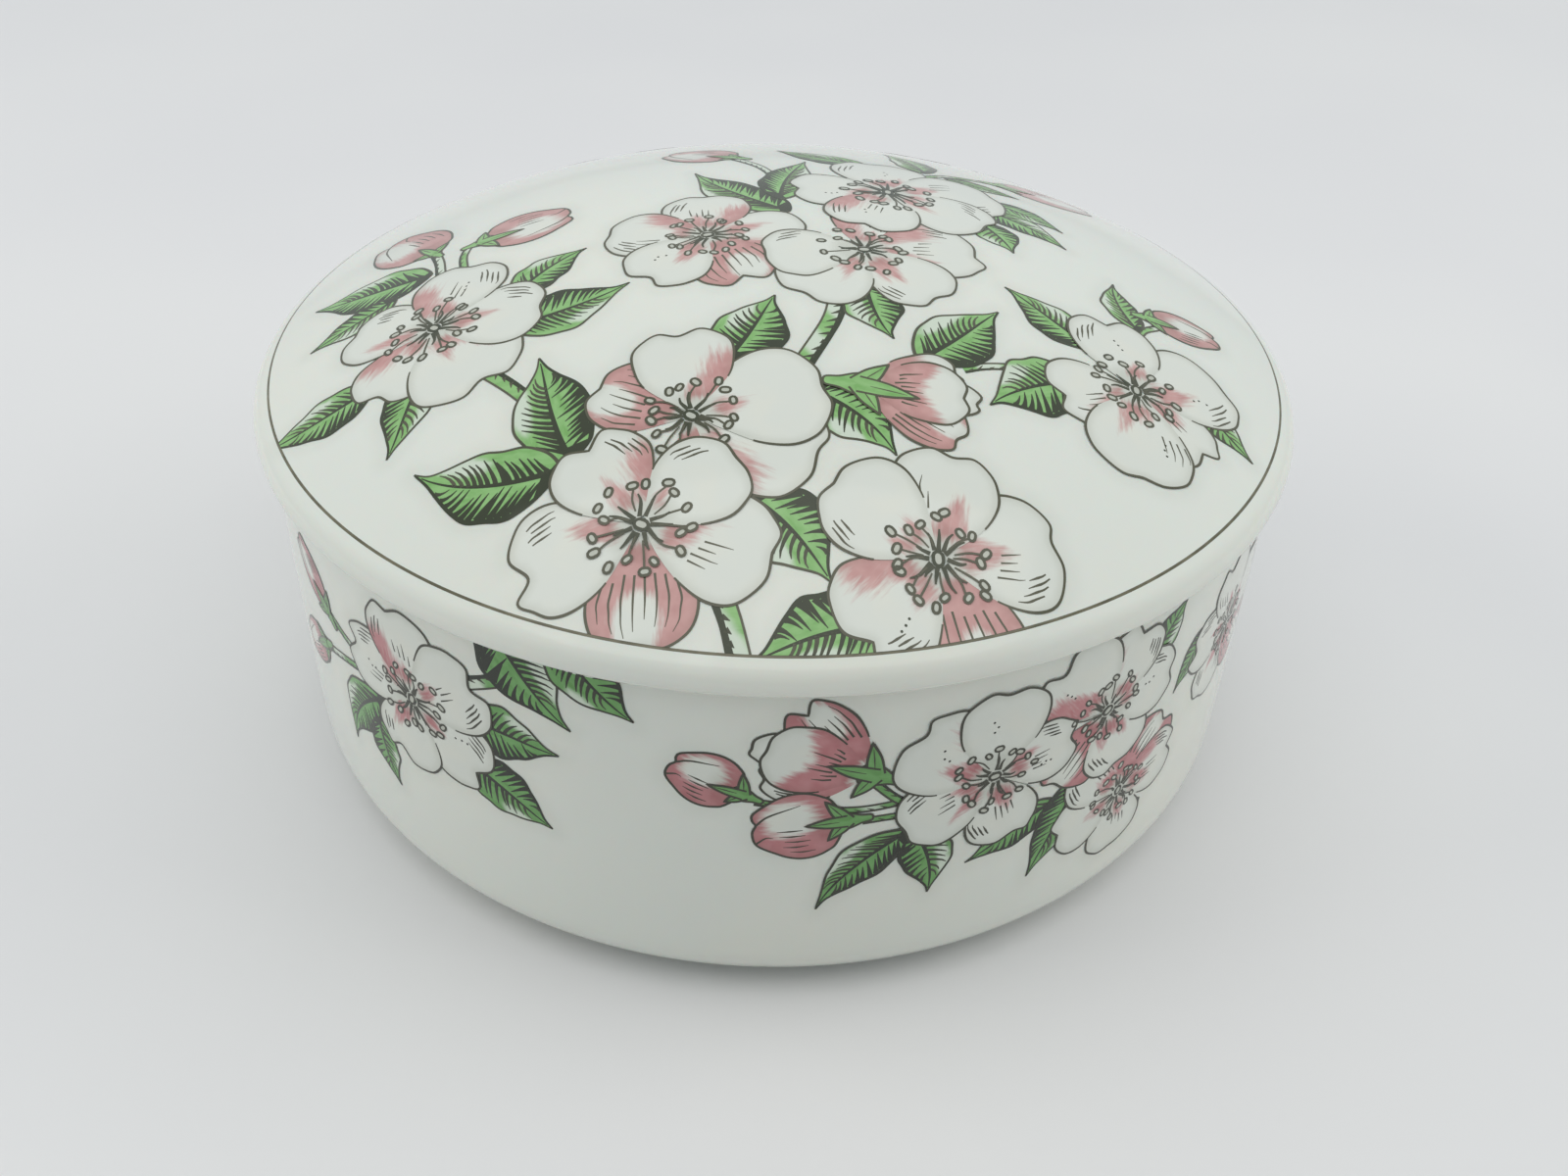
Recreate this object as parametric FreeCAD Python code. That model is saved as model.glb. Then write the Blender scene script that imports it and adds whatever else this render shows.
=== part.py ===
"""Round porcelain powder jar: an open bowl and a domed lid that lifts off.

Frame: millimetres, +Z up along the jar's axis, origin at the centre of the
face that the foot ring stands on.
"""
import FreeCAD, Part
import math
import os

# ---- driving dimensions ---------------------------------------------------
LID_DIAMETER = 120.0          # across the lid's edge, the widest part of the jar
BOWL_DIAMETER = 117.0         # across the bowl's outer wall, just under the lid
BOWL_HEIGHT = 44.0            # standing face to rim
LID_RISE = 18.5               # rim to the crown of the lid

# bowl
BOWL_WALL = 3.0               # wall thickness at the rim
BOWL_TAPER = 0.3              # how much the outer radius shrinks down to the base
BOWL_BELLY = 0.15             # how far the wall bulges past a straight line
BOWL_BASE_ROUND = 6.5         # outer radius between wall and base
BOWL_FLOOR = 3.4              # floor thickness
BOWL_FLOOR_ROUND = 6.0        # inner radius between wall and floor
RIM_ROUND = 0.9               # both edges of the rim

# foot ring under the bowl
FOOT_OUTER_RADIUS = 49.4
FOOT_WIDTH = 2.6
FOOT_HEIGHT = 1.0             # base edge above the standing face
FOOT_RECESS = 1.5             # underside inside the ring, above the standing face
FOOT_FLANK = 0.8              # run of each sloping side of the ring

# lid
STRIPE_RADIUS = 58.0          # pinstripe circle near the lid's edge
STRIPE_HEIGHT = 3.5           # pinstripe above the bowl's rim
LID_THICKNESS = 3.0
LID_SHOULDER_ROUND = 2.6      # dome into edge
LID_EDGE_ROUND = 0.8          # edge into the seat
FLANGE_CLEARANCE = 1.2        # flange to the bowl's wall, all round
FLANGE_WIDTH = 2.4
FLANGE_DEPTH = 4.0            # flange below the bowl's rim
FLANGE_ROUND = 0.9            # both edges of its foot
FLANGE_ROOT_ROUND = 2.5       # flange into the underside of the dome

# pinstripe, enamel that has sunk a little into the glaze
STRIPE_WIDTH = 0.36
STRIPE_SUNK = 0.15
STRIPE_PROUD = 0.02

# ---- worked out from the above --------------------------------------------
LID_RADIUS = LID_DIAMETER / 2
BOWL_RADIUS = BOWL_DIAMETER / 2
MOUTH_RADIUS = BOWL_RADIUS - BOWL_WALL
DOME_RISE = LID_RISE - STRIPE_HEIGHT
DOME_RADIUS = (STRIPE_RADIUS ** 2 + DOME_RISE ** 2) / (2 * DOME_RISE)
DOME_CENTRE_Z = BOWL_HEIGHT + LID_RISE - DOME_RADIUS
TOLERANCE = 1e-4


def at(radius, height):
    """A point of a profile, in the plane through the axis."""
    return FreeCAD.Vector(radius, 0, height)


def line(start, end):
    return Part.LineSegment(start, end).toShape()


def arc(start, middle, end):
    return Part.Arc(start, middle, end).toShape()


def polyline(points):
    return [line(a, b) for a, b in zip(points, points[1:])]


def turned(edges):
    """The solid that a closed profile sweeps round the jar's axis."""
    face = Part.Face(Part.Wire(edges))
    return face.revolve(FreeCAD.Vector(0, 0, 0), FreeCAD.Vector(0, 0, 1), 360)


def rounded(solid, radius, circles):
    """Round the circular edges of a solid given as (radius, height) pairs."""
    chosen = []
    for edge in solid.Edges:
        if edge.Degenerated or not isinstance(edge.Curve, Part.Circle):
            continue
        here = (edge.Curve.Radius, edge.Curve.Center.z)
        if any(math.dist(here, circle) < TOLERANCE for circle in circles):
            chosen.append(edge)
    if len(chosen) != len(circles):
        raise RuntimeError(f"found {len(chosen)} of the edges {circles}")
    return solid.makeFillet(radius, chosen)


def dome_height(radius, offset=0.0):
    """Height of the dome's sphere, moved out by offset, over a given radius."""
    return DOME_CENTRE_Z + math.sqrt((DOME_RADIUS + offset) ** 2 - radius ** 2)


def dome_arc(start_radius, end_radius, offset=0.0):
    """Profile arc along the dome's sphere, moved out by offset."""
    radii = (start_radius, (start_radius + end_radius) / 2, end_radius)
    return arc(*[at(radius, dome_height(radius, offset)) for radius in radii])


def make_bowl():
    base_radius = BOWL_RADIUS - BOWL_TAPER
    floor_radius = MOUTH_RADIUS - BOWL_TAPER
    floor_z = FOOT_RECESS + BOWL_FLOOR
    belly_radius = BOWL_RADIUS - BOWL_TAPER / 2 + BOWL_BELLY
    belly_z = (FOOT_HEIGHT + BOWL_HEIGHT) / 2
    foot_inner_radius = FOOT_OUTER_RADIUS - FOOT_WIDTH
    underside = [
        at(0, floor_z),
        at(0, FOOT_RECESS),
        at(foot_inner_radius - FOOT_FLANK, FOOT_RECESS),
        at(foot_inner_radius, 0),
        at(FOOT_OUTER_RADIUS, 0),
        at(FOOT_OUTER_RADIUS + FOOT_FLANK, FOOT_HEIGHT),
        at(base_radius, FOOT_HEIGHT),
    ]
    outer_wall = arc(underside[-1], at(belly_radius, belly_z), at(BOWL_RADIUS, BOWL_HEIGHT))
    inside = [
        at(BOWL_RADIUS, BOWL_HEIGHT),
        at(MOUTH_RADIUS, BOWL_HEIGHT),
        at(floor_radius, floor_z),
        at(0, floor_z),
    ]
    bowl = turned(polyline(underside) + [outer_wall] + polyline(inside))
    bowl = rounded(bowl, BOWL_BASE_ROUND, [(base_radius, FOOT_HEIGHT)])
    bowl = rounded(bowl, BOWL_FLOOR_ROUND, [(floor_radius, floor_z)])
    rim = [(BOWL_RADIUS, BOWL_HEIGHT), (MOUTH_RADIUS, BOWL_HEIGHT)]
    return rounded(bowl, RIM_ROUND, rim)


def make_pinstripe():
    """Thin ring of enamel that follows the dome."""
    inner = STRIPE_RADIUS - STRIPE_WIDTH / 2
    outer = STRIPE_RADIUS + STRIPE_WIDTH / 2

    def side(radius):
        return line(
            at(radius, dome_height(radius, -STRIPE_SUNK)),
            at(radius, dome_height(radius, STRIPE_PROUD)),
        )

    top = dome_arc(inner, outer, STRIPE_PROUD)
    bottom = dome_arc(outer, inner, -STRIPE_SUNK)
    return turned([side(inner), top, side(outer), bottom])


def make_lid():
    flange_outer = MOUTH_RADIUS - FLANGE_CLEARANCE
    flange_inner = flange_outer - FLANGE_WIDTH
    flange_z = BOWL_HEIGHT - FLANGE_DEPTH
    edge_z = dome_height(LID_RADIUS)
    root_z = dome_height(flange_inner, -LID_THICKNESS)
    crown_z = BOWL_HEIGHT + LID_RISE
    dome = dome_arc(0, LID_RADIUS)
    edge_and_flange = polyline([
        at(LID_RADIUS, edge_z),
        at(LID_RADIUS, BOWL_HEIGHT),
        at(flange_outer, BOWL_HEIGHT),
        at(flange_outer, flange_z),
        at(flange_inner, flange_z),
        at(flange_inner, root_z),
    ])
    underside = dome_arc(flange_inner, 0, -LID_THICKNESS)
    axis = line(at(0, crown_z - LID_THICKNESS), at(0, crown_z))
    lid = turned([dome] + edge_and_flange + [underside, axis])
    lid = rounded(lid, LID_SHOULDER_ROUND, [(LID_RADIUS, edge_z)])
    lid = rounded(lid, LID_EDGE_ROUND, [(LID_RADIUS, BOWL_HEIGHT)])
    lid = rounded(lid, FLANGE_ROUND, [(flange_outer, flange_z), (flange_inner, flange_z)])
    return rounded(lid, FLANGE_ROOT_ROUND, [(flange_inner, root_z)])


def main():
    pinstripe = make_pinstripe()
    parts = {
        "bowl": make_bowl(),
        "lid": make_lid().cut(pinstripe),
        "lid_pinstripe": pinstripe,
    }
    os.makedirs("parts", exist_ok=True)
    for name, shape in parts.items():
        if not shape.isValid() or len(shape.Solids) != 1:
            raise RuntimeError(f"{name} is not one valid solid")
        shape.Solids[0].exportStep(f"parts/{name}.step")
        box = shape.BoundBox
        print(f"{name}: {shape.Volume / 1000:.2f} cm3, z {box.ZMin:.2f} to {box.ZMax:.2f} mm")


main()
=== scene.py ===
"""White porcelain powder jar, printed with sprays of blossom under a clear glaze.

Artwork is drawn flat in millimetres: on the lid as seen from above, and on the
bowl unrolled, with the distance round the wall from the front and the height.
"""
import math
import random
import bpy
import numpy as np
from mathutils import Matrix, Vector
from mathutils.geometry import delaunay_2d_cdt
from mathutils.kdtree import KDTree


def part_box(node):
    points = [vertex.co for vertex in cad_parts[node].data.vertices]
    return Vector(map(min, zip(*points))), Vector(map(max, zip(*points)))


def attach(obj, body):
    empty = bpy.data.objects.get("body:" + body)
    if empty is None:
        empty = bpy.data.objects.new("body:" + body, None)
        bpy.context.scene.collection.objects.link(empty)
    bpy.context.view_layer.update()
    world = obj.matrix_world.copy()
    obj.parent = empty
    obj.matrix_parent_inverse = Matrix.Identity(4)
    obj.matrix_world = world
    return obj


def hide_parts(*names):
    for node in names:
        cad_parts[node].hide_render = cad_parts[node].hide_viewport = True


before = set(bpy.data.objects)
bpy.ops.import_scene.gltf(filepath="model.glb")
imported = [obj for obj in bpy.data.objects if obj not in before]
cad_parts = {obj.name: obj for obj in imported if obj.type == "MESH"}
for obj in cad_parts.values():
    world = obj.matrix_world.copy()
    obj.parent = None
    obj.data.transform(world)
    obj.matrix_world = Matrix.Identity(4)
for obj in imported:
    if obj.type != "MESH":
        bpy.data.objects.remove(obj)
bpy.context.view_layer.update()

# ---- sizes in millimetres ----
MM = 0.001


def corners(node):
    low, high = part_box(node)
    return Vector(low) / MM, Vector(high) / MM


bowl_low, bowl_high = corners("bowl")
lid_low, lid_high = corners("lid")
RIM_Z = bowl_high.z
CROWN_Z = lid_high.z
FLANGE_Z = lid_low.z
LID_RADIUS = lid_high.x
BOWL_RADIUS = bowl_high.x

WALL = 3.0
TAPER = 0.3
BELLY = 0.15
BASE_ROUND = 6.5
FLOOR_Z = 4.9
FLOOR_ROUND = 6.0
RIM_ROUND = 0.9
FOOT_Z = 1.0
RECESS_Z = 1.5
FOOT_RADII = (46.0, 46.8, 49.4, 50.2)
FLAT_RING = 20.0  # radius of a ring of points on the flat floor and in the recess

STRIPE_RADIUS = 58.0
STRIPE_RISE = 3.5
STRIPE_WIDTH = 0.3
STRIPE_SECTION = (  # share of its width across, and height above the dome
    (-0.5, -0.008), (-0.4, 0.004), (0, 0.006), (0.4, 0.004), (0.5, -0.008))
LID_THICKNESS = 3.0
SHOULDER_ROUND = 2.6
EDGE_ROUND = 0.8
FLANGE_CLEARANCE = 1.2
FLANGE_WIDTH = 2.4
FLANGE_ROUND = 0.9
ROOT_ROUND = 2.5

MOUTH_RADIUS = BOWL_RADIUS - WALL
FLANGE_OUTER = MOUTH_RADIUS - FLANGE_CLEARANCE
FLANGE_INNER = FLANGE_OUTER - FLANGE_WIDTH
DOME_RISE = CROWN_Z - RIM_Z - STRIPE_RISE
DOME_RADIUS = (STRIPE_RADIUS ** 2 + DOME_RISE ** 2) / (2 * DOME_RISE)
DOME_Z = CROWN_Z - DOME_RADIUS
TURN_STEPS = 384
SHARP_ANGLE = 50  # edges that turn by more degrees stay sharp

# printed transfers
FIRST_LIFT = 0.016  # lowest print above the glaze
LEVEL_LIFT = 0.008  # each thing above what it overlaps
LINE_LIFT = 0.004  # lines above the colour that they are drawn on
FILL_SPACING = 0.9
LINE_STEP = 0.32
FULL_LINE = 0.42  # pen lines thinner than this take less ink
# Painted shade, on petals and on the glaze near print:
EDGE_SHADE = 1.2  # how far a petal's edge is shaded
HEART_SHADE = (2.0, 5.0)  # radii where the shade in a blossom's heart starts to fade, and ends
SHADED = -1.0  # petal tint that stands for the deepest shade, with no pink
NEAR_PRINT = 2.6  # how far from print the glaze is shaded


# ---- meshes ----
def new_object(name, points, faces, material, normals=None):
    mesh = bpy.data.meshes.new(name)
    mesh.from_pydata((np.asarray(points) * MM).tolist(), [], faces)
    mesh.shade_smooth()
    mesh.materials.append(material)
    if normals is not None:
        mesh.normals_split_custom_set_from_vertices(normals.tolist())
    piece = bpy.data.objects.new(name, mesh)
    bpy.context.scene.collection.objects.link(piece)
    return piece


def around(count):
    """Angles spread evenly over a full turn."""
    return np.linspace(0, math.tau, count, endpoint=False)


def arc(centre, radius, start, end, steps):
    """Points of a profile arc, angles in degrees from the outward direction."""
    turns = [math.radians(start + (end - start) * i / steps) for i in range(steps + 1)]
    return [(centre[0] + radius * math.cos(a), centre[1] + radius * math.sin(a)) for a in turns]


def lathe(name, profile, material):
    """Turns a profile, from the axis underneath to the axis on top, into a closed skin."""
    rings = profile[1:-1]
    points = [(0, 0, profile[0][1]), (0, 0, profile[-1][1])]
    for radius, z in rings:
        points += [(radius * math.cos(a), radius * math.sin(a), z) for a in around(TURN_STEPS)]
    first, last = 2, 2 + (len(rings) - 1) * TURN_STEPS
    faces = []
    for j in range(TURN_STEPS):
        k = (j + 1) % TURN_STEPS
        faces.append((0, first + k, first + j))
        faces.append((1, last + j, last + k))
        for start in range(first, last, TURN_STEPS):
            above = start + TURN_STEPS
            faces.append((start + j, start + k, above + k, above + j))
    piece = new_object(name, points, faces, material)
    piece.data.set_sharp_from_angle(angle=math.radians(SHARP_ANGLE))
    return piece


# ---- the two surfaces that carry print ----
def dome_height(radius, offset):
    return DOME_Z + math.sqrt((DOME_RADIUS + offset) ** 2 - radius ** 2)


def wall_radius(z):
    """Outer radius of the bowl's wall: a slight taper with a slight belly."""
    t = (z - FOOT_Z) / (RIM_Z - FOOT_Z)
    return BOWL_RADIUS - TAPER * (1 - t) + 4 * BELLY * t * (1 - t)


def on_dome(flat, lift):
    """Points above the lid's dome, for print drawn as seen from above."""
    centre = np.array([0, 0, DOME_Z])
    height = DOME_Z + np.sqrt(DOME_RADIUS ** 2 - (flat ** 2).sum(1))
    points = np.column_stack([flat, height])
    normals = (points - centre) / DOME_RADIUS
    return points + normals * lift[:, None], normals


def on_wall(flat, lift):
    """Points outside the bowl's wall, for print drawn unrolled."""
    turn = flat[:, 0] / BOWL_RADIUS
    outward = np.column_stack([np.sin(turn), -np.cos(turn), np.zeros(len(turn))])
    points = outward * (wall_radius(flat[:, 1]) + lift)[:, None]
    points[:, 2] = flat[:, 1]
    return points, outward


# ---- porcelain ----
def bowl_profile():
    base_round_r = wall_radius(FOOT_Z + BASE_ROUND) - BASE_ROUND
    wall_z = np.linspace(FOOT_Z + BASE_ROUND, RIM_Z - RIM_ROUND, 20)[1:-1]
    floor_r = MOUTH_RADIUS - TAPER
    points = [(0, RECESS_Z), (FLAT_RING, RECESS_Z), (FOOT_RADII[0], RECESS_Z)]
    points += [(FOOT_RADII[1], 0), (FOOT_RADII[2], 0), (FOOT_RADII[3], FOOT_Z)]
    points += arc((base_round_r, FOOT_Z + BASE_ROUND), BASE_ROUND, -90, 0, 12)
    points += [(wall_radius(z), z) for z in wall_z]
    points += arc((BOWL_RADIUS - RIM_ROUND, RIM_Z - RIM_ROUND), RIM_ROUND, 0, 90, 6)
    points += arc((MOUTH_RADIUS + RIM_ROUND, RIM_Z - RIM_ROUND), RIM_ROUND, 90, 180, 6)
    points += arc((floor_r - FLOOR_ROUND, FLOOR_Z + FLOOR_ROUND), FLOOR_ROUND, 0, -90, 12)
    return points + [(FLAT_RING, FLOOR_Z), (0, FLOOR_Z)]


def lid_profile():
    inner = DOME_RADIUS - LID_THICKNESS
    root_r = FLANGE_INNER - ROOT_ROUND
    root_z = DOME_Z + math.sqrt((inner - ROOT_ROUND) ** 2 - root_r ** 2)
    root_turn = math.degrees(math.atan2(root_z - DOME_Z, root_r))
    edge_r = LID_RADIUS - SHOULDER_ROUND
    edge_z = DOME_Z + math.sqrt((DOME_RADIUS - SHOULDER_ROUND) ** 2 - edge_r ** 2)
    edge_turn = math.degrees(math.atan2(edge_z - DOME_Z, edge_r))
    foot_z = FLANGE_Z + FLANGE_ROUND
    points = arc((0, DOME_Z), inner, 90, root_turn, 30)
    points += arc((root_r, root_z), ROOT_ROUND, root_turn, 0, 8)
    points += arc((FLANGE_INNER + FLANGE_ROUND, foot_z), FLANGE_ROUND, 180, 270, 6)
    points += arc((FLANGE_OUTER - FLANGE_ROUND, foot_z), FLANGE_ROUND, 270, 360, 6)
    points += [(FLANGE_OUTER, RIM_Z)]
    points += arc((LID_RADIUS - EDGE_ROUND, RIM_Z + EDGE_ROUND), EDGE_ROUND, -90, 0, 6)
    points += arc((edge_r, edge_z), SHOULDER_ROUND, 0, edge_turn, 8)
    return points + arc((0, DOME_Z), DOME_RADIUS, edge_turn, 90, 60)[1:]


def pinstripe_ring(material):
    """Line of enamel that follows the dome, with its edges let into the glaze."""
    profile = []
    for share, lift in STRIPE_SECTION:
        radius = STRIPE_RADIUS + share * STRIPE_WIDTH
        profile.append((radius, dome_height(radius, lift)))
    points = []
    for turn in around(TURN_STEPS):
        points += [(r * math.cos(turn), r * math.sin(turn), z) for r, z in profile]
    count = len(profile)
    faces = []
    for i in range(TURN_STEPS):
        here, there = i * count, (i + 1) % TURN_STEPS * count
        faces += [(here + j, here + j + 1, there + j + 1, there + j) for j in range(count - 1)]
    return new_object("pinstripe", points, faces, material)


# ---- flat drawing ----
def circle(turns):
    return np.column_stack([np.cos(turns), np.sin(turns)])


def unit(vectors):
    return vectors / np.maximum(np.hypot(*vectors.T), 1e-9)[:, None]


class Place:
    """A local frame on the flat sheet, turned by some degrees."""

    def __init__(self, x, y, turn=0.0):
        cos, sin = math.cos(math.radians(turn)), math.sin(math.radians(turn))
        self.matrix = np.array([[cos, -sin], [sin, cos]])
        self.origin = np.array([x, y], float)

    def child(self, turn, x=0.0):
        inner = Place(0, 0, turn)
        inner.origin = self.out([(x, 0)])[0]
        inner.matrix = self.matrix @ inner.matrix
        return inner

    def out(self, points):
        return np.asarray(points, float) @ self.matrix.T + self.origin

    def into(self, points):
        return (points - self.origin) @ self.matrix


def span(base, tip):
    """A frame at the base with its first axis towards the tip, and the distance between them."""
    reach = np.subtract(tip, base)
    return Place(*base, math.degrees(math.atan2(reach[1], reach[0]))), float(np.hypot(*reach))


def curve(points, step=LINE_STEP, closed=False):
    """Smooth curve through some points, sampled about every step."""
    points = np.asarray(points, float)
    if closed:
        ring = np.vstack([points[-1:], points, points[:2]])
    else:
        ring = np.vstack([2 * points[0] - points[1], points, 2 * points[-1] - points[-2]])
    pieces = []
    for a, b, c, d in zip(ring, ring[1:], ring[2:], ring[3:]):
        count = max(2, math.ceil(float(np.hypot(*(c - b))) / step))
        t = (np.arange(count) / count)[:, None]
        bend = (2 * a - 5 * b + 4 * c - d) * t ** 2 + (3 * b - a - 3 * c + d) * t ** 3
        pieces.append((2 * b + (c - a) * t + bend) / 2)
    if not closed:
        pieces.append(points[-1:])
    return np.vstack(pieces)


def divided(outline, longest=0.7):
    """The same outline with points added, so that no side is too long to bend."""
    pieces = []
    for a, b in zip(outline, np.roll(outline, -1, 0)):
        count = max(1, math.ceil(float(np.hypot(*(b - a))) / longest))
        pieces.append(a + (b - a) * (np.arange(count) / count)[:, None])
    return np.vstack(pieces)


def area(outline):
    x, y = outline.T
    return (x * np.roll(y, -1) - y * np.roll(x, -1)).sum() / 2


def inside(points, outline):
    """True for each point that lies within an outline."""
    x, y = points[:, :1], points[:, 1:]
    ax, ay = outline.T
    bx, by = np.roll(outline, -1, 0).T
    spans = (ay > y) != (by > y)
    cross = ax + (y - ay) * (bx - ax) / np.where(by == ay, 1, by - ay)
    return (spans & (x < cross)).sum(1) % 2 == 1


def gaps(points, outline):
    """How far each point is from an outline's nearest point."""
    return np.hypot(*(points[:, None] - outline[None]).transpose(2, 0, 1)).min(1)


def filling(outline):
    """Staggered points inside an outline, clear of its edge, so that a fill can bend."""
    spacing = FILL_SPACING
    low, high = outline.min(0), outline.max(0)
    rows = np.arange(low[1] + spacing / 2, high[1], spacing * 0.87)
    grid = []
    for i, y in enumerate(rows):
        shift = spacing / 2 * (i % 2)
        grid += [(x + shift, y) for x in np.arange(low[0], high[0], spacing)]
    if not grid:
        return np.zeros((0, 2))
    grid = np.array(grid)
    grid = grid[inside(grid, outline)]
    return grid[gaps(grid, outline) > spacing * 0.45] if len(grid) else grid


class Transfer:
    """A printed sheet: things drawn in order, each lifted above what it overlaps."""

    def __init__(self, beyond, window):
        self.beyond = beyond  # which points are outside the printed area
        self.window = window  # outline of the printed area near some points
        self.drawn = []
        self.level = 0
        self.inks = {}

    def lay(self, outline):
        """Starts a new thing, with its outline."""
        low, high = outline.min(0), outline.max(0)
        under = [level for a, b, level in self.drawn if (a < high).all() and (low < b).all()]
        self.level = 1 + max(under, default=0)
        self.drawn.append((low, high, self.level))

    def add(self, ink, points, faces, raise_by=0.0, place=None, tint=1.0, edge=0.0):
        """Stores a patch; tint is a number, or a function of the place's two axes."""
        kinds = ("points", "faces", "lift", "grain", "tint", "edge")
        store = self.inks.setdefault(ink, {kind: [] for kind in kinds})
        start = sum(len(part) for part in store["points"])
        local = points if place is None else place.into(points)
        store["points"].append(points)
        store["faces"] += [tuple(start + i for i in face) for face in faces]
        store["lift"].append(np.full(len(points), FIRST_LIFT + self.level * LEVEL_LIFT + raise_by))
        store["grain"].append(local)
        store["tint"].append(np.zeros(len(points)) + (tint(*local.T) if callable(tint) else tint))
        store["edge"].append(np.zeros(len(points)) + edge)

    def fill(self, ink, outline, place=None, tint=1.0, raise_by=0.0):
        """Fills an outline with ink, cut off where the printed area ends."""
        outline = divided(np.asarray(outline))
        if area(outline) < 0:
            outline = outline[::-1]
        clip = self.window(outline) if self.beyond(outline).any() else np.zeros((0, 2))
        points = np.vstack([outline, clip, filling(outline)])
        rings = [list(range(len(outline)))]
        if len(clip):
            rings.append(list(range(len(outline), len(outline) + len(clip))))
        found = delaunay_2d_cdt([Vector(p) for p in points], [], rings, 1, 1e-5)
        kept = [face for face, owners in zip(found[2], found[5]) if len(set(owners)) == len(rings)]
        used = sorted({i for face in kept for i in face})
        if not used:
            return
        renamed = {old: new for new, old in enumerate(used)}
        corners_used = np.array([found[0][i] for i in used])
        faces = [tuple(renamed[i] for i in face) for face in kept]
        # Closeness to the outline, which sets a petal's painted shade near its edge.
        edge = soft(1 - gaps(corners_used, outline) / EDGE_SHADE)
        self.add(ink, corners_used, faces, raise_by, place, tint, edge)

    def stroke(self, path, widths, closed=False, raise_by=LINE_LIFT):
        """A pen line along a path; widths are spread evenly from its start to its end."""
        path = np.asarray(path, float)
        ahead = np.roll(path, -1, 0) - path
        behind = path - np.roll(path, 1, 0)
        if not closed:
            ahead[-1], behind[0] = behind[-1], ahead[0]
        along = unit(unit(ahead) + unit(behind))
        side = np.column_stack([-along[:, 1], along[:, 0]])
        steps = np.linspace(0, len(widths) - 1, len(path))
        half = np.interp(steps, range(len(widths)), widths)[:, None] / 2
        left, right = path + side * half, path - side * half
        weight = min(1.0, sum(widths) / len(widths) / FULL_LINE)
        if self.beyond(path).any():
            self.fill("line", np.vstack([right, left[::-1]]), tint=weight, raise_by=raise_by)
            return
        count = len(path)
        faces = []
        for i in range(count if closed else count - 1):
            j = (i + 1) % count
            faces.append((count + i, count + j, j, i))
        self.add("line", np.vstack([left, right]), faces, raise_by, tint=weight)

    def dot(self, centre, radius):
        self.fill("line", circle(around(10)) * radius + centre, raise_by=LINE_LIFT)

    def ring(self, centre, radius, width, lean):
        """A small oval drawn as a line, with a petal's white inside, darkened by painted shade."""
        turns = around(14)
        oval = radius * (1 - 0.2 * np.cos(2 * (turns - lean)))
        path = circle(turns) * oval[:, None] + centre
        self.fill("petal", path, tint=SHADED, raise_by=LINE_LIFT * 1.4)
        self.stroke(path, [width], True, LINE_LIFT * 2)

    def piece(self, name, ink, surface, material):
        """The sheet's print in one ink, laid on its surface."""
        store = self.inks[ink]
        flat = np.vstack(store["points"])
        points, normals = surface(flat, np.concatenate(store["lift"]))
        made = new_object(name, points, store["faces"], material, normals)
        mesh = made.data
        for kind in ("tint", "edge"):
            values = np.concatenate(store[kind])
            mesh.attributes.new(kind, "FLOAT", "POINT").data.foreach_set("value", values)
        grain = mesh.uv_layers.new(name="grain")
        loops = np.zeros(len(mesh.loops), int)
        mesh.loops.foreach_get("vertex_index", loops)
        grain.data.foreach_set("uv", np.vstack(store["grain"])[loops].ravel())
        return made


# ---- blossom ----
def soft(value):
    return np.clip(value, 0, 1)


PETAL_ALONG = [0.06, 0.2, 0.4, 0.62, 0.8, 0.92]
PETAL_HALF = [0.05, 0.2, 0.37, 0.455, 0.43, 0.34]
OUTLINE_FROM = 0.36  # share of a petal's length where its outline starts


def petal_half(t):
    return np.interp(t, PETAL_ALONG, PETAL_HALF)


def petal_edge(length, wide, pen):
    """Outline of a petal along the first axis, with a soft dip or a sharp notch in its tip."""
    shift = pen.uniform(-0.1, 0.1)
    dip = pen.choice([0.0, 0.03, 0.06, 0.1])
    sides = []
    for sign in (1, -1):
        swell = wide * pen.uniform(0.93, 1.08)
        side = [(t, sign * half * swell + pen.uniform(-0.012, 0.012))
                for t, half in zip(PETAL_ALONG, PETAL_HALF)]
        lobe = (pen.uniform(0.99, 1.02), sign * 0.18 * wide + shift * 0.6)
        sides.append(np.array(side + [lobe, (1 - dip, shift)]) * length)
    if pen.random() < 0.35:
        return np.vstack([curve(sides[0]), curve(sides[1])[-2::-1]])
    return curve(np.vstack([sides[0], sides[1][-2::-1]]))


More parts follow.
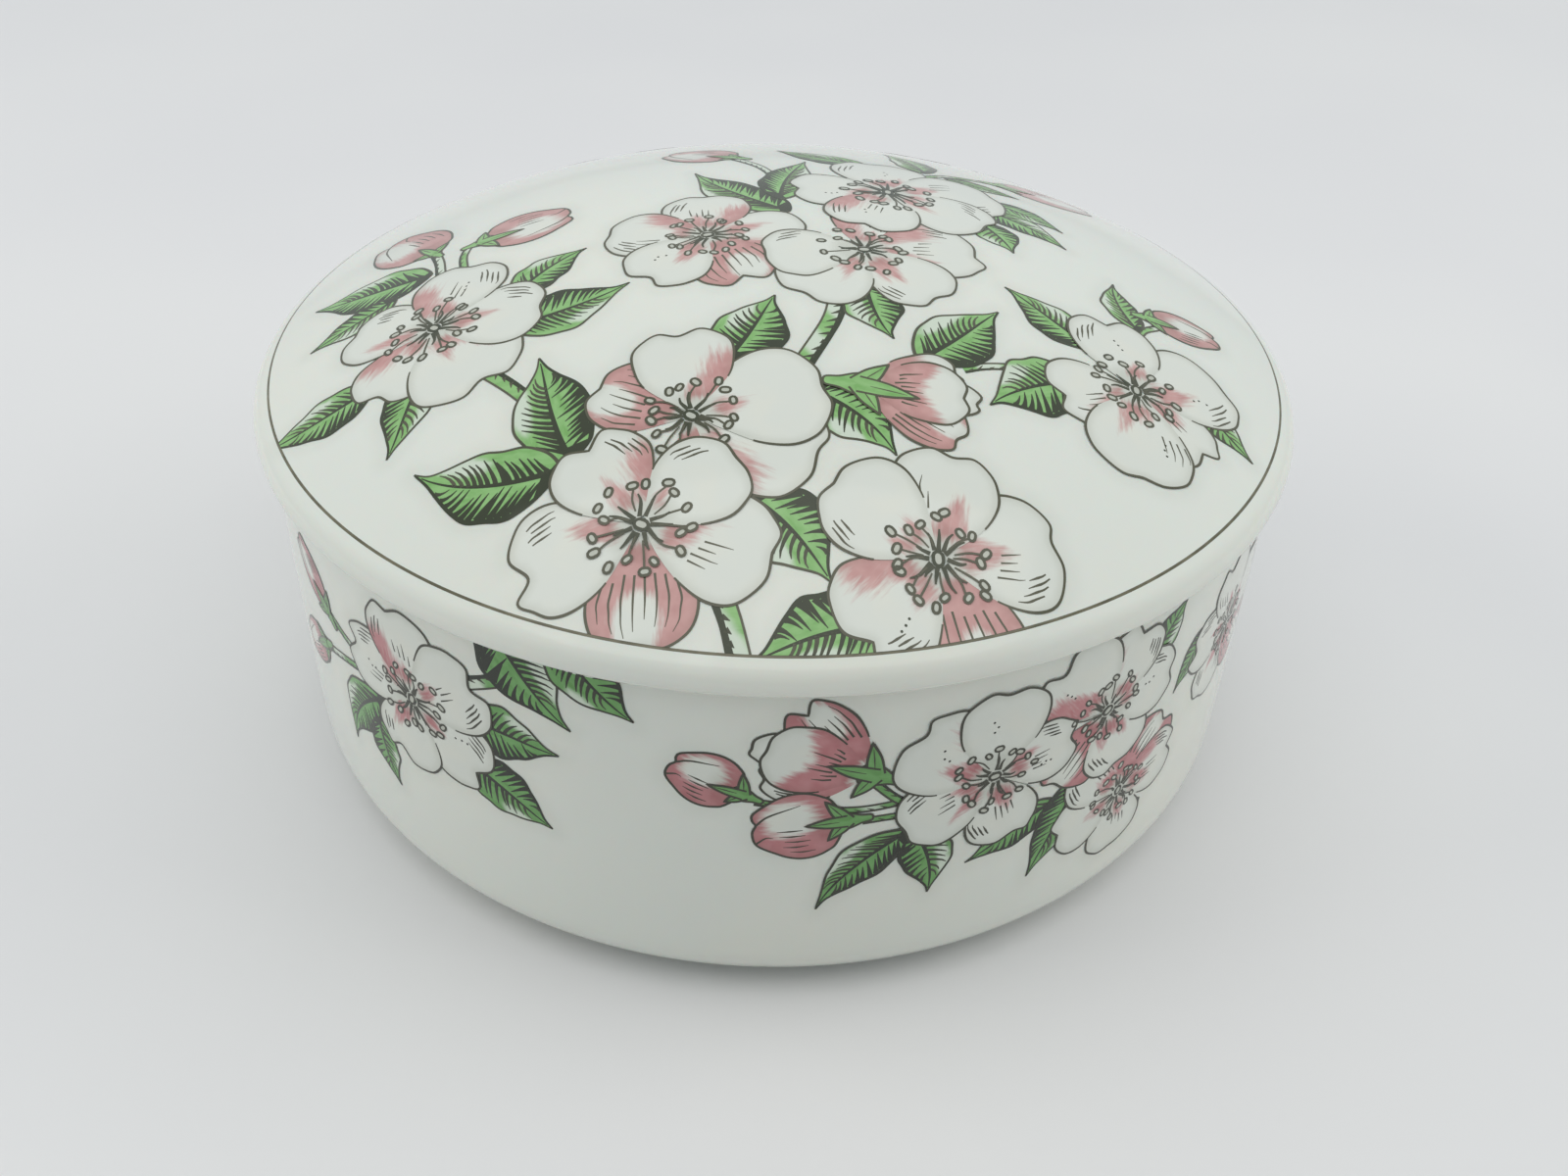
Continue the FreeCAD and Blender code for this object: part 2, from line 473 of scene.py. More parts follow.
def petal_blush(style, length, wide, pen):
    """How pink a petal is at each place. Styles: plain, base, left, right, full, cup."""
    flames = [(pen.uniform(-0.45, 0.45), pen.uniform(0.6, 0.92), pen.uniform(0.13, 0.22))
              for _ in range(pen.choice([1, 2, 2]))]
    light = (pen.uniform(0.72, 0.86), pen.uniform(-0.12, 0.12))

    def blush(x, y):
        t, v = x / length, y / length / wide
        amount = np.zeros(len(t))
        if style == "plain":
            return amount
        for lean, reach, width in flames:
            narrow = width * soft(1.6 * (reach - t) / reach)
            flame = soft((reach - t) / 0.3) * soft((narrow - np.abs(v - lean * t)) / 0.12)
            amount = np.maximum(amount, 0.78 * flame)
        if style in ("left", "right"):
            across = v / np.maximum(petal_half(t), 0.05) * (1 if style == "left" else -1)
            amount = np.maximum(amount, 0.88 * soft((across - 0.1) / 0.5) * soft((0.86 - t) / 0.3))
        if style == "full":
            away = np.hypot((t - light[0]) / 0.36, (v - light[1]) / 0.26)
            amount = np.maximum(amount, soft((away - 0.5) / 0.45))
        if style == "cup":
            amount = np.maximum(amount, soft((0.66 - t + 0.5 * np.abs(v)) / 0.22))
        return amount * soft((t - 0.1) / 0.12)

    return blush


def petal(sheet, place, length, style, pen, wide=1.0):
    edge = petal_edge(length, wide, pen)
    outline = place.out(edge)
    sheet.lay(outline)
    sheet.fill("petal", outline, place, petal_blush(style, length, wide, pen))
    shown = edge[:, 0] > OUTLINE_FROM * length
    sheet.stroke(outline[shown], [0.18, 0.29, 0.24, 0.3, 0.24, 0.29, 0.18])

    def fan(start, end, share, widths, lean=0.0):
        """A pen line that follows the petal's spread."""
        t = np.linspace(start, end, 6)
        v = petal_half(t) * wide * (share + lean * (t - start))
        sheet.stroke(curve(place.out(np.column_stack([t, v]) * length)), widths)

    if style in ("full", "cup"):
        start, end, spread = (0.4, 0.72, 0.74) if style == "full" else (0.3, 0.42, 0.6)
        for share in np.linspace(-spread, spread, 8):
            fan(start + pen.uniform(0, 0.07), end + pen.uniform(0, 0.2), share, [0.24, 0.2, 0.07])
        return
    middle = pen.uniform(-0.5, 0.5)
    for i in range(pen.choice([0, 0, 3, 4])):
        start = pen.uniform(0.4, 0.46) + 0.02 * i
        fan(start, start + pen.uniform(0.1, 0.24), middle + 0.15 * i, [0.2, 0.16, 0.06])
    for i in range(pen.choice([0, 0, 3])):
        spot = (0.55 + 0.06 * i, middle * 0.4 + pen.uniform(-0.04, 0.04))
        sheet.dot(place.out([np.array(spot) * length])[0], 0.14)
    side = pen.choice([-1, 1])
    for i in range(pen.choice([0, 3, 4])):
        start = pen.uniform(0.54, 0.6) + 0.03 * i
        end = start + pen.uniform(0.18, 0.29) - 0.02 * i
        fan(start, end, side * (0.88 - 0.13 * i), [0.08, 0.25, 0.14], -0.4 * side)


def stamens(sheet, place, radius, pen):
    """Centre ring, tapering threads and ring-shaped tips."""
    sheet.lay(place.out(circle(around(24)) * radius * 0.5))

    def spot(turn, reach):
        return place.out([(reach * math.cos(turn), reach * math.sin(turn))])[0]

    bold = radius / 12
    threads = pen.randint(11, 13)
    for i in range(threads):
        turn = math.tau * (i + pen.uniform(-0.25, 0.25)) / threads
        reach = radius * pen.uniform(0.19, 0.3)
        bend = pen.uniform(-0.22, 0.22)
        path = [spot(turn, 0.85), spot(turn + bend, 0.45 + reach * 0.6), spot(turn + bend / 2, reach)]
        sheet.stroke(curve(path), [0.46 * bold, 0.36 * bold, 0.16 * bold])
    tips = pen.randint(17, 19)
    for i in range(tips):
        turn = math.tau * (i + pen.uniform(-0.35, 0.35)) / tips
        reach = radius * pen.uniform(0.3, 0.44)
        size = bold * pen.uniform(0.4, 0.49)
        if pen.random() < 0.65:
            bend = pen.uniform(-0.22, 0.22)
            path = [spot(turn + bend, reach * 0.35), spot(turn + bend * 0.7, reach * 0.65)]
            path.append(spot(turn, reach - size))
            sheet.stroke(curve(path), [0.16 * bold, 0.22 * bold, 0.22 * bold])
        sheet.ring(spot(turn, reach), size, 0.29 * bold, pen.uniform(0, math.pi))
    sheet.ring(place.origin, 0.6 * bold, 0.34 * bold, pen.uniform(0, math.pi))


STYLES = {"p": "plain", "b": "base", "l": "left", "r": "right", "f": "full"}
WEDGE = [(3.2, 0), (6.6, 0.8), (7.4, 0), (6.6, -0.8)]  # dark gap between two petals


def flower(sheet, x, y, seed, *petals):
    """A blossom: each petal has a direction, a length and a style, the lowest petal first."""
    pen = random.Random(seed)
    for turn in pen.sample([each[0] for each in petals], 3):
        wedge = Place(x, y, turn + 36).out(WEDGE)
        sheet.lay(wedge)
        sheet.fill("line", wedge)
    for turn, length, style in petals:
        petal(sheet, Place(x, y, turn), length, STYLES[style], pen)
    stamens(sheet, Place(x, y), sum(each[1] for each in petals) / len(petals), pen)


LEAF_SHAPE = curve([(0, 0), (0.04, 0.3), (0.15, 0.72), (0.32, 0.98), (0.5, 0.96), (0.66, 0.7),
                    (0.79, 0.36), (0.89, 0.13), (1, 0)], 0.02)


def leaf(sheet, base, tip, width, seed, bend=0.0, dark=1):
    """A leaf from its stalk to its point; dark is the side with heavy hatching."""
    pen = random.Random(seed)
    place, length = span(base, tip)
    wave = [pen.uniform(0.02, 0.05), pen.uniform(0, 6), pen.uniform(0.02, 0.04), pen.uniform(0, 6)]
    hook = pen.choice([-1, 1]) * pen.uniform(0.02, 0.07)

    def middle(t):
        return length * (4 * bend * t * (1 - t) + hook * t ** 5)

    def at(t, v):
        """Sheet points at a share t of the length and v of the half width."""
        t = np.asarray(t, float)
        ripple = 1 + wave[0] * np.sin(11 * t + wave[1]) + wave[2] * np.sin(23 * t + wave[3])
        half = width / 2 * np.interp(t, *LEAF_SHAPE.T) * ripple
        return place.out(np.column_stack([t * length, middle(t) + v * half]))

    steps = np.linspace(0, 1, max(14, int(length / LINE_STEP)))
    upper, lower = at(steps, 1), at(steps, -1)
    outline = np.vstack([lower, upper[-2:0:-1]])
    sheet.lay(outline)
    glow = (pen.uniform(0.5, 0.74), pen.uniform(0.26, 0.42), pen.uniform(0.28, 0.42))

    def green(x, y):
        t, v = x / length, (y - middle(x / length)) / width
        away = np.hypot((t - glow[0]) / glow[2], (-dark * v - glow[1]) / 0.2)
        return soft((away - 0.45) / 0.6)

    sheet.fill("leaf", outline, place, green)
    strong, fine = (upper, lower) if dark > 0 else (lower, upper)
    bold = min(1.0, 0.4 + width / 13)
    sheet.stroke(strong, [0.3, 0.6 * bold, 0.5 * bold, 0.36 * bold, 0.22])
    sheet.stroke(fine, [0.38, 0.3, 0.28, 0.26, 0.18])
    sheet.stroke(at(np.linspace(0.0, 0.94, 24), 0), [0.8 * bold, 0.55 * bold, 0.4 * bold, 0.28, 0.12])
    for side, reach_in, reach_out in ((dark, 0.11, 0.13), (-dark, 0.08, 0.03)):
        rib = at(np.linspace(0.01, reach_in, 5), 0)
        margin = at(np.linspace(reach_out, 0.01, 5), side * 0.95)
        sheet.fill("line", np.vstack([rib, margin]), raise_by=LINE_LIFT)
    veins = max(7, int(length * 0.95))
    sweep = np.array([0, 0.2, 0.45, 0.72, 1.0])
    for i in range(veins):
        t = 0.07 + 0.66 * (i + pen.uniform(-0.15, 0.15)) / veins
        out = pen.uniform(0.62, 0.84)
        thick = bold * (1 - 0.9 * t ** 3)
        path = at(t + 0.13 * sweep ** 1.3, -dark * out * sweep)
        sheet.stroke(path, [0.56 * thick, 0.46 * thick, 0.34 * thick, 0.1])
        inner = pen.uniform(0.06, 0.34)
        path = at(t + 0.13 - 0.1 * sweep, dark * (0.95 + (inner - 0.95) * sweep))
        sheet.stroke(path, [0.8 * thick, 0.6 * thick, 0.36 * thick, 0.08])


def sepal(sheet, place, length, width, pen):
    """Pointed green flap of a bud's cup."""
    bend = pen.uniform(-0.12, 0.12) * length
    one = curve([(0, -width / 2), (length * 0.5, bend * 0.5 - width * 0.4), (length, bend)])
    other = curve([(length, bend), (length * 0.5, bend * 0.5 + width * 0.4), (0, width / 2)])
    outline = place.out(np.vstack([one, other[1:]]))
    sheet.lay(outline)
    sheet.fill("leaf", outline, place)
    sheet.stroke(outline, [0.24, 0.3, 0.24])
    ridge = [(length * 0.2, bend * 0.1), (length * 0.5, bend * 0.5), (length * 0.8, bend * 0.85)]
    sheet.stroke(curve(place.out(ridge)), [0.06, 0.16, 0.06])


def calyx(sheet, place, size, pen):
    """Green neck and pointed flaps round the foot of a bud."""
    half = [(-0.8, 0.1), (-0.5, 0.16), (-0.15, 0.3), (0.2, 0.34)]
    ring = np.array(half + [(0.4, 0)] + [(x, -y) for x, y in half[::-1]]) * size
    outline = place.out(curve(ring, closed=True))
    sheet.lay(outline)
    sheet.fill("leaf", outline, place)
    sheet.stroke(outline, [0.26], closed=True)
    for turn, reach in ((62, 0.9), (-58, 1.0), (-4, 1.3)):
        flap = place.child(turn + pen.uniform(-9, 9), -0.1 * size)
        sepal(sheet, flap, size * reach * pen.uniform(0.88, 1.12), size * 0.44, pen)


def bud(sheet, base, tip, width, seed, cup=3.2):
    """A closed bud from its stalk to its tip."""
    pen = random.Random(seed)
    place, length = span(base, tip)
    side = pen.choice([-1, 1])

    def at(*shares):
        return place.out(np.array(shares) * (length, side * width))

    t = np.linspace(0, 0.86, 9)
    half = np.sin(math.pi * t ** 0.9) ** 0.5 / 2
    upper = list(zip(t, half))
    lower = list(zip(t, -half))
    nose = [(0.96, 0.24), (0.98, 0.13), (0.95, 0.06), (1.0, -0.06), (0.965, -0.25)]
    outline = curve(at(*(upper[:-1] + nose + lower[-2:0:-1])), closed=True)
    sheet.lay(outline)
    light = (pen.uniform(0.55, 0.68), side * pen.uniform(0.02, 0.14))

    def blush(x, y):
        away = np.hypot((x / length - light[0]) / 0.38, (y / width - light[1]) / 0.34)
        return soft((away - 0.4) / 0.75)

    sheet.fill("petal", outline, place, blush)
    sheet.stroke(outline, [0.27], closed=True)
    sheet.stroke(curve(at((0.95, 0.06), (0.8, 0.19), (0.45, 0.32))), [0.26, 0.22, 0.07])
    sheet.stroke(curve(at((0.97, -0.22), (0.86, -0.14), (0.78, -0.15))), [0.24, 0.2, 0.06])
    for i in range(5):
        share = -0.38 + 0.08 * i
        start = pen.uniform(0.3, 0.42) + 0.02 * i
        path = at((start, share), (start + 0.14, share * 1.04), (start + 0.28, share))
        sheet.stroke(curve(path), [0.08, 0.22, 0.06])
    calyx(sheet, place, cup, pen)


def open_bud(sheet, base, tip, seed, cup=4.2):
    """A bud whose petals are parting."""
    pen = random.Random(seed)
    place, length = span(base, tip)
    for turn, share, wide, style in ((22, 0.86, 0.62, "left"), (-25, 0.92, 0.66, "full"),
                                     (4, 0.98, 0.44, "plain"), (4, 0.87, 0.84, "cup")):
        petal(sheet, place.child(turn + pen.uniform(-3, 3)), length * share, style, pen, wide)
    calyx(sheet, place, cup, pen)


def stem(sheet, path, width, seed, dark=1, tint=0.5):
    """A twig with one dark, ragged side."""
    pen = random.Random(seed)
    line = curve(path)
    along = unit(np.gradient(line, axis=0))
    side = np.column_stack([-along[:, 1], along[:, 0]]) * width / 2
    outline = np.vstack([line - side, (line + side)[::-1]])
    sheet.lay(outline)
    sheet.fill("leaf", outline, tint=lambda x, y: tint + 0.6 * np.sin(x * 0.9 + y * 0.7 + seed))
    sheet.stroke(line - side * dark, [0.24])
    sheet.stroke(line + side * dark * 0.8, [width * 0.4, width * 0.3, width * 0.42])
    for i in range(2, len(line) - 3, 4):
        start = line[i] + side[i] * dark * 0.6
        end = line[i + 2] - side[i] * dark * pen.uniform(-0.3, 0.5)
        sheet.stroke(curve([start, end]), [width * 0.3, 0.06])


# ---- artwork on the lid ----
def lid_limit(points):
    return np.hypot(*points.T) > STRIPE_RADIUS - STRIPE_WIDTH / 2


def lid_window(points):
    """Sector of the disc inside the pinstripe, wide enough to hold the points."""
    middle = math.atan2(*points.mean(0)[::-1])
    turns = np.linspace(middle - 0.7, middle + 0.7, 90)
    rim = circle(turns) * (STRIPE_RADIUS - STRIPE_WIDTH * 0.4)
    return np.vstack([[(-5 * math.cos(middle), -5 * math.sin(middle))], rim])


def lid_left_spray(sheet):
    stem(sheet, [(-31, -23), (-26, -28), (-20.5, -34.5)], 1.5, 1)
    stem(sheet, [(-38, -4), (-39, 0.5), (-40, 3.5)], 1.1, 2)
    stem(sheet, [(-35.5, -3), (-36.2, 0.5), (-36, 3.4)], 0.9, 3)
    leaf(sheet, (-42, -21.5), (-53.5, -26.2), 6.0, 11, 0.04)
    leaf(sheet, (-36.2, -21), (-37.8, -33.4), 5.6, 12, -0.05, -1)
    leaf(sheet, (-39.5, -1.8), (-54.2, -0.6), 8.0, 13, 0.03)
    leaf(sheet, (-43, -5.2), (-52.3, -10.1), 5.0, 14, 0.05, -1)
    leaf(sheet, (-28.5, -11.5), (-21.6, -3.6), 5.6, 15, 0.05, -1)
    leaf(sheet, (-28.5, -17.8), (-15.6, -13.2), 7.2, 16, -0.03)
    bud(sheet, (-40.6, 4.6), (-47.8, 13.8), 9.2, 17, 2.8)
    bud(sheet, (-34.2, 3.8), (-24.4, 6.8), 9.4, 18, 3.4)
    flower(sheet, -36.9, -14.4, 21, (-115, 11, "r"), (-58, 13.6, "b"), (161, 10.6, "b"),
           (0, 12, "b"), (80, 12.2, "l"))


def lid_back_spray(sheet):
    stem(sheet, [(6.4, -15), (5.4, -20), (2.2, -27.5)], 1.9, 5)
    stem(sheet, [(0, 12), (-2.5, 19), (-6.4, 24.5)], 1.0, 6)
    stem(sheet, [(17, 21), (21, 24.6), (27, 27.2)], 0.9, 7)
    leaf(sheet, (1, 3), (-11.2, 16.2), 6.4, 22, 0.05, -1)
    leaf(sheet, (0, 6.7), (3.6, 22.6), 5.8, 23, 0.06)
    leaf(sheet, (10.5, 23.5), (-0.8, 29.8), 4.8, 24, 0.06)
    leaf(sheet, (18, 24), (14, 36), 5.2, 25, -0.05, -1)
    leaf(sheet, (23, 7), (26.8, 0), 5.4, 26, 0.05)
    leaf(sheet, (23.5, 12), (33.8, 5.6), 5.2, 27, 0.06, -1)
    leaf(sheet, (25, 15.4), (34.2, 11.4), 4.4, 28, 0.06)
    leaf(sheet, (9.2, -12.5), (11.6, -21.8), 6.2, 29, -0.04)
    bud(sheet, (-6, 24.8), (-14.6, 29.4), 8.4, 30, 3.0)
    bud(sheet, (28.4, 27.4), (40.6, 29.6), 9.0, 32, 3.6)
    leaf(sheet, (20.5, 23.6), (30, 21.8), 3.6, 33, -0.05)
    flower(sheet, -8, -3.2, 34, (7, 11, "r"), (-64, 11, "f"), (94, 10.6, "r"),
           (170, 11.2, "r"), (-127, 11, "b"))
    flower(sheet, 9.3, -5.5, 36, (76, 11, "l"), (14, 13, "l"), (-47, 11.4, "b"),
           (-126, 12, "b"), (-171, 11, "p"))
    flower(sheet, 12.7, 11.8, 35, (95, 13, "b"), (22, 14.4, "b"), (-174, 11.4, "b"),
           (-32, 13, "b"), (-106, 12, "r"))


def lid_middle_spray(sheet):
    stem(sheet, [(-5, -51.5), (-3.6, -55), (-2.4, -59)], 2.0, 4, -1)
    stem(sheet, [(19, -24.9), (21.5, -23.8), (26, -22.6)], 0.9, 8, -1)
    leaf(sheet, (-19.6, -38), (-23.6, -23.4), 7.8, 41, 0.05, -1)
    leaf(sheet, (-20.5, -38.8), (-35.4, -37), 8.2, 42, 0.1)
    leaf(sheet, (-5, -26), (-0.8, -15.6), 7.6, 43, -0.05, -1)
    leaf(sheet, (3, -30), (12, -37.2), 7.2, 44, 0.08)
    leaf(sheet, (14.4, -24.4), (23, -13.8), 7.4, 45, -0.05, -1)
    leaf(sheet, (-2.5, -43), (5.2, -51.6), 7.8, 47, 0.08)
    leaf(sheet, (10.5, -55), (-1.4, -59.2), 7.2, 48, -0.08, -1)
    open_bud(sheet, (8.6, -29), (20.6, -29.9), 46, 4.8)
    flower(sheet, -8.2, -33.7, 49, (-67, 10, "f"), (154, 10.6, "f"), (-23, 13.4, "r"),
           (18, 13.4, "b"), (98, 12, "r"))
    flower(sheet, -12.2, -45.7, 50, (-88, 11.6, "f"), (-162, 12.2, "b"), (-17, 12.6, "b"),
           (123, 11.4, "r"), (39, 11, "b"))
    flower(sheet, 15.4, -48, 51, (-71, 12, "f"), (14, 12, "b"), (81, 11.6, "b"),
           (-132, 11.4, "r"), (145, 11.8, "b"))


def lid_right_spray(sheet):
    stem(sheet, [(39.5, -12), (40.4, -9.6), (42.4, -7.6)], 0.8, 9)
    leaf(sheet, (34, -16.6), (25.2, -8.2), 5.8, 61, 0.05)
    leaf(sheet, (32, -22.5), (21.2, -28.9), 8.0, 62, -0.04)
    leaf(sheet, (39.8, -10), (38, -0.6), 4.2, 63, 0.08, -1)
    leaf(sheet, (44, -17.6), (50.6, -25.4), 4.8, 64, -0.04, -1)
    bud(sheet, (42, -6), (50.4, -4.6), 6.0, 65, 3.0)
    flower(sheet, 37.8, -21.4, 66, (-48, 9.8, "b"), (28, 12.6, "b"), (-157, 10.2, "l"),
           (-93, 12.4, "b"), (100, 11.6, "b"))


def lid_far_spray(sheet):
    """Along the far edge, cut by the pinstripe."""
    leaf(sheet, (-12, 52), (-4, 47), 5.4, 72, 0.07)
    leaf(sheet, (-24, 47.5), (-33, 44), 5.4, 73, 0.06, -1)
    leaf(sheet, (12, 54), (4, 49), 5.2, 74, -0.05)
    bud(sheet, (27, 46.5), (35.5, 43.5), 5.4, 76, 3.0)
    flower(sheet, -18.5, 54, 77, (60, 9, "b"), (-12, 9, "p"), (-84, 8.6, "r"),
           (-156, 9, "f"), (130, 9, "b"))
    flower(sheet, 20, 53.5, 78, (80, 9, "b"), (8, 9, "b"), (-64, 9, "f"),
           (-136, 8.6, "l"), (152, 9, "p"))


def lid_blossom():
    sheet = Transfer(lid_limit, lid_window)
    for draw in (lid_left_spray, lid_back_spray, lid_middle_spray, lid_right_spray, lid_far_spray):
        draw(sheet)
    return sheet


# ---- artwork on the bowl ----
PRINT_TOP = RIM_Z - RIM_ROUND
BACK_SHIFT = 14.0  # how far past half way round the sprays are repeated


def bowl_limit(points):
    return points[:, 1] > PRINT_TOP


def bowl_window(points):
    left, right = points[:, 0].min() - 5, points[:, 0].max() + 5
    return np.array([(left, 0), (right, 0), (right, PRINT_TOP), (left, PRINT_TOP)])


def bowl_left_spray(sheet, x, seed):
    """One big flower with leaves and a pair of buds, about a middle at x."""
    stem(sheet, [(x + 7, 36.6), (x + 11, 38.6), (x + 13.5, 40)], 1.5, seed, 1, 0.2)
    stem(sheet, [(x - 8, 31), (x - 12, 32.2), (x - 15.5, 33.6)], 0.9, seed + 1)
    stem(sheet, [(x - 8, 29.6), (x - 13, 28.4), (x - 18, 27)], 0.9, seed + 2)
    bud(sheet, (x - 15.6, 33.6), (x - 21.5, 39.4), 5.2, seed + 3)
    bud(sheet, (x - 18.4, 26.8), (x - 26, 22.5), 5.4, seed + 4)
    leaf(sheet, (x + 11.4, 47.4), (x + 19.2, 35.2), 8.2, seed + 5, -0.04, -1)
    leaf(sheet, (x + 18.4, 47), (x + 26, 38.3), 6.8, seed + 6, -0.04)
    leaf(sheet, (x + 7, 32.4), (x + 18.2, 31.2), 6.6, seed + 7, 0.05, -1)
    leaf(sheet, (x + 7, 26.4), (x + 16.6, 20.8), 6.8, seed + 8, 0.05)
    leaf(sheet, (x - 5.6, 27.4), (x - 14.4, 17), 6.2, seed + 9, -0.09)
    leaf(sheet, (x - 7, 24), (x - 5.2, 15.4), 4.8, seed + 10, -0.05, -1)
    flower(sheet, x, 30.9, seed + 11, (-32, 11, "b"), (-105, 9.8, "b"), (169, 10.4, "b"),
           (98, 11, "l"), (35, 11.4, "b"))


def bowl_right_spray(sheet, x, seed):
    """Four flowers, with three buds to their left and leaves round them."""
    stem(sheet, [(x - 8, 29), (x - 14, 28.4), (x - 20, 29.2), (x - 24, 29.8)], 0.8, seed, 1, 0.9)
    stem(sheet, [(x - 9, 28.4), (x - 10.6, 29.8), (x - 12.6, 32)], 0.9, seed + 1, -1, 0.9)
    stem(sheet, [(x - 9.4, 27), (x - 13.4, 26.8)], 0.8, seed + 2, 1, 0.9)
    bud(sheet, (x - 25.2, 30.8), (x - 32, 34.1), 7.0, seed + 3, 2.7)
    open_bud(sheet, (x - 12.8, 33), (x - 24, 38.2), seed + 4, 4.0)
    bud(sheet, (x - 15.2, 27), (x - 24.2, 26), 9.0, seed + 5, 3.4)
    leaf(sheet, (x - 8.6, 24.8), (x - 18.2, 15), 5.0, seed + 6, -0.05)
    leaf(sheet, (x - 7.8, 24.2), (x - 5.6, 15), 5.4, seed + 7, 0.06, -1)
    leaf(sheet, (x + 8, 23.2), (x - 1.6, 17.4), 4.8, seed + 8, -0.05)
    leaf(sheet, (x + 11, 25.4), (x + 5.4, 12.8), 5.8, seed + 9, 0.04, -1)
    leaf(sheet, (x + 19, 36), (x + 23.6, 42.6), 4.6, seed + 10, 0.05)
    leaf(sheet, (x + 31, 35.2), (x + 24.5, 29.2), 4.2, seed + 11, -0.05, -1)
    flower(sheet, x + 17.8, 19.2, seed + 13, (49, 9.6, "f"), (8, 9.4, "l"), (-84, 9, "b"),
           (-164, 9.2, "b"), (133, 9.8, "r"))
    flower(sheet, x + 13.2, 33.1, seed + 12, (-123, 9.6, "f"), (-68, 9.6, "b"), (2, 9.8, "b"),
           (66, 10, "l"), (128, 11, "l"))
    flower(sheet, x, 29.8, seed + 14, (-76, 9.8, "b"), (-152, 10.4, "b"), (142, 11.4, "r"),
           (11, 9.4, "b"), (85, 10.8, "p"))
    flower(sheet, x + 36.4, 31.6, seed + 15, (-116, 9, "b"), (-44, 9.4, "f"), (28, 9.4, "b"),
           (172, 9, "b"), (100, 9.4, "b"))


def bowl_blossom():
    sheet = Transfer(bowl_limit, bowl_window)
    half_way = math.pi * BOWL_RADIUS + BACK_SHIFT
    for shift, seed in ((0, 100), (half_way, 200)):
        bowl_left_spray(sheet, shift - 38.7, seed)
        bowl_right_spray(sheet, shift + 22.9, seed + 20)
    return sheet


# ---- materials ----
def srgb(red, green, blue):
    """Linear colour from 8-bit display values."""
    def linear(value):
        value /= 255
        return value / 12.92 if value <= 0.04045 else ((value + 0.055) / 1.055) ** 2.4
    return (linear(red), linear(green), linear(blue), 1.0)


RANGE_ENDS = ("From Min", "From Max", "To Min", "To Max")


class Nodes:
    """Short names for building one material."""

    def __init__(self, name):
        self.material = bpy.data.materials.new(name)
        self.material.use_nodes = True
        self.tree = self.material.node_tree
        self.shader = self.tree.nodes["Principled BSDF"]

    def node(self, kind, **values):
        made = self.tree.nodes.new(kind)
        for key, value in values.items():
            if hasattr(made, key):
                setattr(made, key, value)
            else:
                made.inputs[key.replace("_", " ")].default_value = value
        return made

    def link(self, source, target):
        self.tree.links.new(source, target)

    def place(self):
        return self.node("ShaderNodeTexCoord").outputs["Object"]

    def attribute(self, name):
        return self.node("ShaderNodeAttribute", attribute_name=name).outputs["Fac"]

    def math(self, operation, first, second=0.0):
        made = self.node("ShaderNodeMath", operation=operation)
        for socket, value in zip(made.inputs, (first, second)):
            if isinstance(value, (int, float)):
                socket.default_value = value
            else:
                self.link(value, socket)
        return made.outputs[0]

    def ramp(self, source, low, high, low_to=0.0, high_to=1.0):
        made = self.node("ShaderNodeMapRange", interpolation_type="SMOOTHSTEP")
        self.link(source, made.inputs["Value"])
        for name, value in zip(RANGE_ENDS, (low, high, low_to, high_to)):
            made.inputs[name].default_value = value
        return made.outputs["Result"]

    def mix(self, factor, first, second, blend="MIX"):
        made = self.node("ShaderNodeMix", data_type="RGBA", blend_type=blend)
        self.link(factor, made.inputs[0])
        for socket, value in ((made.inputs[6], first), (made.inputs[7], second)):
            if isinstance(value, tuple):
                socket.default_value = value
            else:
                self.link(value, socket)
        return made.outputs[2]

    def noise(self, vector, scale, detail=2.0, roughness=0.5):
        made = self.node("ShaderNodeTexNoise", Scale=scale, Detail=detail, Roughness=roughness)
        self.link(vector, made.inputs["Vector"])
        return made.outputs["Fac"]

    def stretched(self, vector, scale):
        made = self.node("ShaderNodeMapping", Scale=scale)
        self.link(vector, made.inputs["Vector"])
        return made.outputs["Vector"]

    def bump(self, height, strength, distance):
        made = self.node("ShaderNodeBump", Strength=strength, Distance=distance)
        self.link(height, made.inputs["Height"])
        self.link(made.outputs["Normal"], self.shader.inputs["Normal"])

    def set(self, **values):
        for key, value in values.items():
            self.shader.inputs[key.replace("_", " ")].default_value = value


GLAZE = srgb(224, 228, 219)
GLAZE_WARM = srgb(227, 229, 218)
BARE = srgb(214, 208, 196)
BARE_GRIT = srgb(188, 180, 166)
# The bowl's inks are deeper copies of the lid's, from the same print: painted shade for the bowl's wall.
LID_PINKS = (srgb(206, 157, 152), srgb(193, 139, 135))
BOWL_PINK_PAINTED_SHADE = (srgb(194, 127, 130), srgb(183, 106, 111))
LID_GREENS = (srgb(143, 190, 121), srgb(115, 169, 91))
BOWL_GREEN_PAINTED_SHADE = (srgb(111, 164, 95), srgb(89, 143, 72))
LEAF_PALE = srgb(206, 218, 200)
FLOOR_PAPER = (srgb(225, 225, 225), srgb(228, 228, 227))
# Painted shade beside dark ink, on petals and on the glaze:
DEEPEST_PAINTED_SHADE = (0.66, 0.66, 0.62, 1.0)  # what the deepest shade leaves of a colour
# The bowl's darker line inks are painted shade as well.
LID_LINES = (srgb(86, 85, 66), srgb(50, 57, 35))
BOWL_LINE_PAINTED_SHADE = (srgb(60, 60, 47), srgb(32, 38, 25))
STRIPE_INKS = (srgb(116, 112, 90), srgb(90, 88, 68))
GLAZE_ROUGHNESS = 0.09
BARE_ROUGHNESS = 0.7


